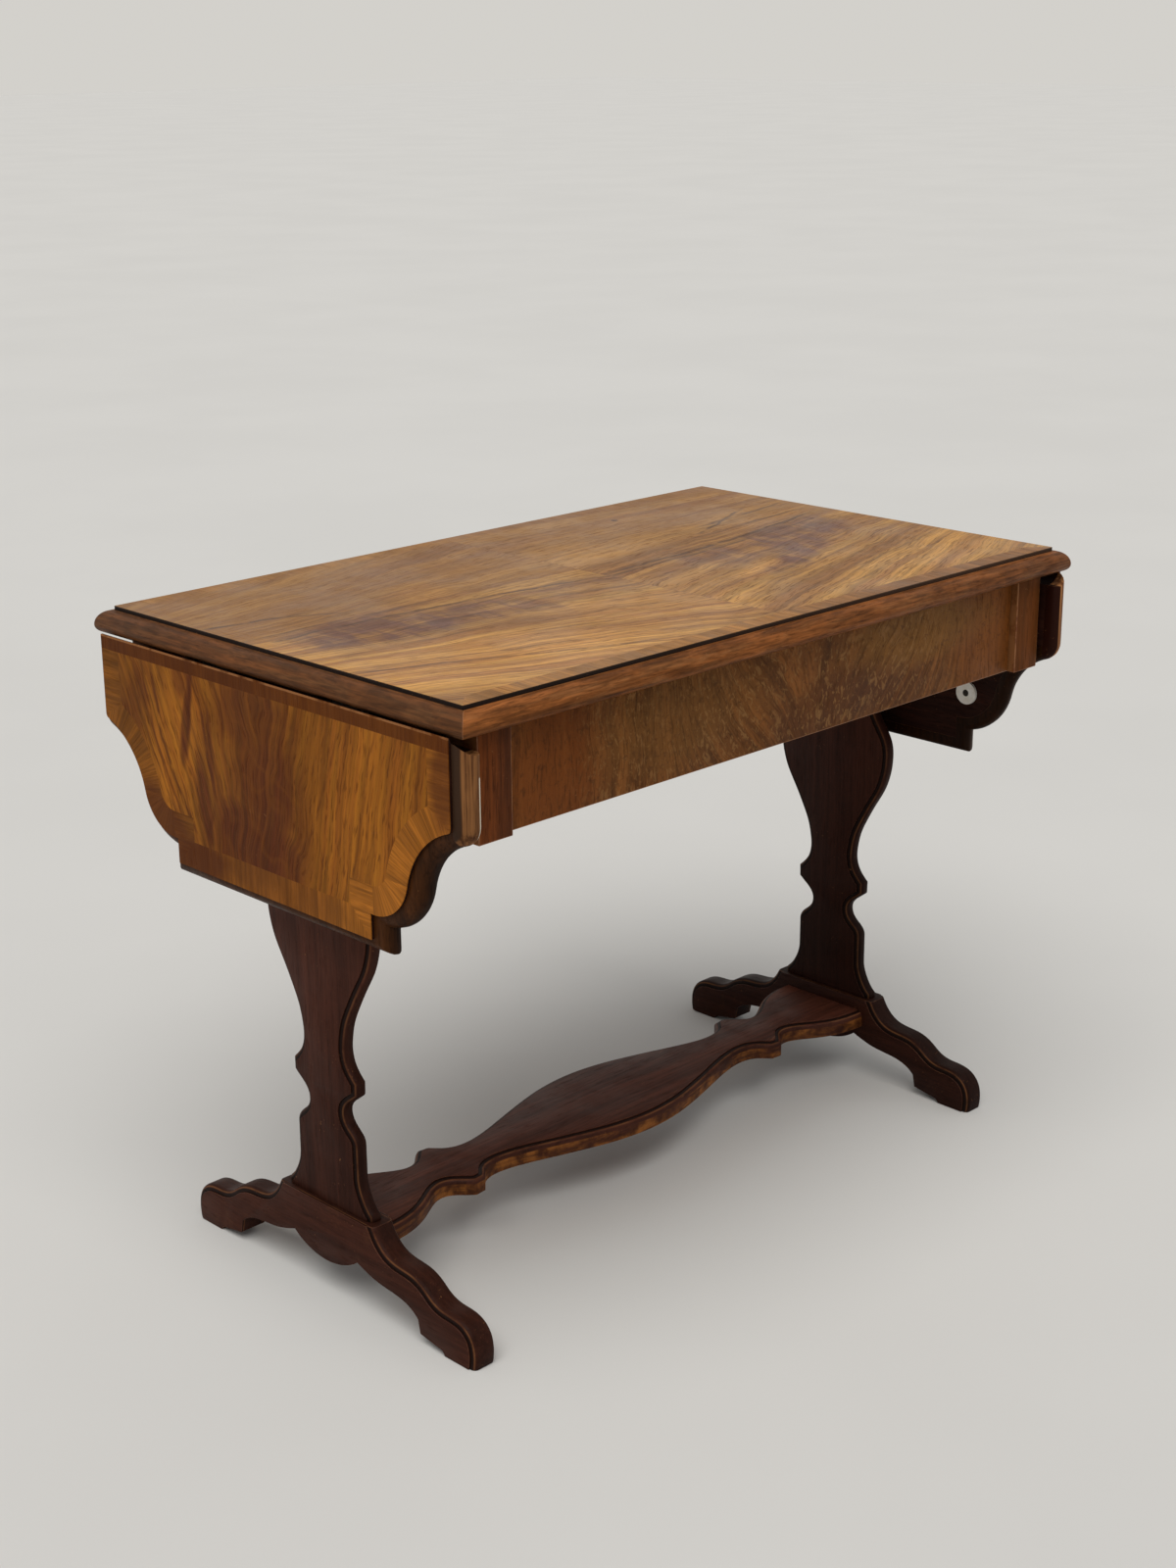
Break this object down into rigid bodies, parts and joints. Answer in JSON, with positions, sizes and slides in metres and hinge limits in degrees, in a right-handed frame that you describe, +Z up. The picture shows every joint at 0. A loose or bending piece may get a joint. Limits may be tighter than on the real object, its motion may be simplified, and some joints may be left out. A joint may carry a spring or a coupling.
{
  "type": "drop-leaf coffee table",
  "caption": "Low wooden trestle table with a veneered top, shaped drop leaves on rule joints, a frieze drawer, pull-out leaf supports and a shaped stretcher.",
  "frame": {"origin": "On the floor, at the middle of the table's footprint with both leaves down.", "axes": "X along the long side of the top towards the right leaf, Y across the table with the drawer's front facing -Y, Z up."},
  "size_m": [0.709, 0.432, 0.531],
  "materials": {
    "figured_veneer": "gloss",
    "crossband_veneer": "gloss",
    "panel_core": "satin",
    "moulding_wood": "satin",
    "frame_wood": "satin",
    "drawer_face_wood": "satin",
    "trestle_wood": "satin",
    "inner_wood": "matte",
    "hinge_steel": "satin",
    "screw_steel": "satin",
    "disc_plastic": "matte"
  },
  "bodies": {
    "table": {"back_batten": "inner_wood", "back_rail": "frame_wood", "corner_post_left_back": "frame_wood", "corner_post_left_front": "frame_wood", "corner_post_right_back": "frame_wood", "corner_post_right_front": "frame_wood", "drawer_runner_left": "inner_wood", "drawer_runner_right": "inner_wood", "drawer_stops": "inner_wood", "end_rail_left": "frame_wood", "end_rail_right": "frame_wood", "foot_left": "trestle_wood", "foot_right": "trestle_wood", "front_rail_lower": "inner_wood", "front_rail_upper": "inner_wood", "hinge_fixed_plates_left": "hinge_steel", "hinge_fixed_plates_right": "hinge_steel", "hinge_pins_left": "hinge_steel", "hinge_pins_right": "hinge_steel", "hinge_screws_top": "screw_steel", "leg_dowels": "inner_wood", "leg_left": "trestle_wood", "leg_right": "trestle_wood", "loper_channels_left": "inner_wood", "loper_channels_right": "inner_wood", "loper_left_back": "inner_wood", "loper_left_front": "inner_wood", "loper_right_back": "inner_wood", "loper_right_front": "inner_wood", "stretcher_dowels": "inner_wood", "stretcher_shelf": "trestle_wood", "top_crossbanding": "crossband_veneer", "top_fixing_screws": "screw_steel", "top_moulding_back": "moulding_wood", "top_moulding_front": "moulding_wood", "top_moulding_left": "moulding_wood", "top_moulding_right": "moulding_wood", "top_panel": "panel_core", "top_veneer": "figured_veneer"},
    "leaf_left": {"hinge_leaf_plates_left": "hinge_steel", "hinge_screws_leaf_left": "screw_steel", "leaf_crossbanding_left": "crossband_veneer", "leaf_moulding_left": "moulding_wood", "leaf_panel_left": "panel_core", "leaf_veneer_left": "figured_veneer", "wear_disc_screws_left": "screw_steel", "wear_discs_left": "disc_plastic"},
    "leaf_right": {"hinge_leaf_plates_right": "hinge_steel", "hinge_screws_leaf_right": "screw_steel", "leaf_crossbanding_right": "crossband_veneer", "leaf_moulding_right": "moulding_wood", "leaf_panel_right": "panel_core", "leaf_veneer_right": "figured_veneer", "wear_disc_screws_right": "screw_steel", "wear_discs_right": "disc_plastic"},
    "drawer": {"drawer_back": "inner_wood", "drawer_bottom": "inner_wood", "drawer_front": "drawer_face_wood", "drawer_side_left": "inner_wood", "drawer_side_right": "inner_wood"}
  },
  "joints": [
    {"name": "leaf_left_hinge", "type": "hinge", "parent": "table", "child": "leaf_left", "pos_m": [-0.3375, 0, 0.514], "axis": [0, 1, 0], "range_deg": [0, 90]},
    {"name": "leaf_right_hinge", "type": "hinge", "parent": "table", "child": "leaf_right", "pos_m": [0.3375, 0, 0.514], "axis": [0, -1, 0], "range_deg": [0, 90]},
    {"name": "drawer_slide", "type": "slide", "parent": "table", "child": "drawer", "axis": [0, -1, 0], "range_m": [0, 0.22]}
  ]
}
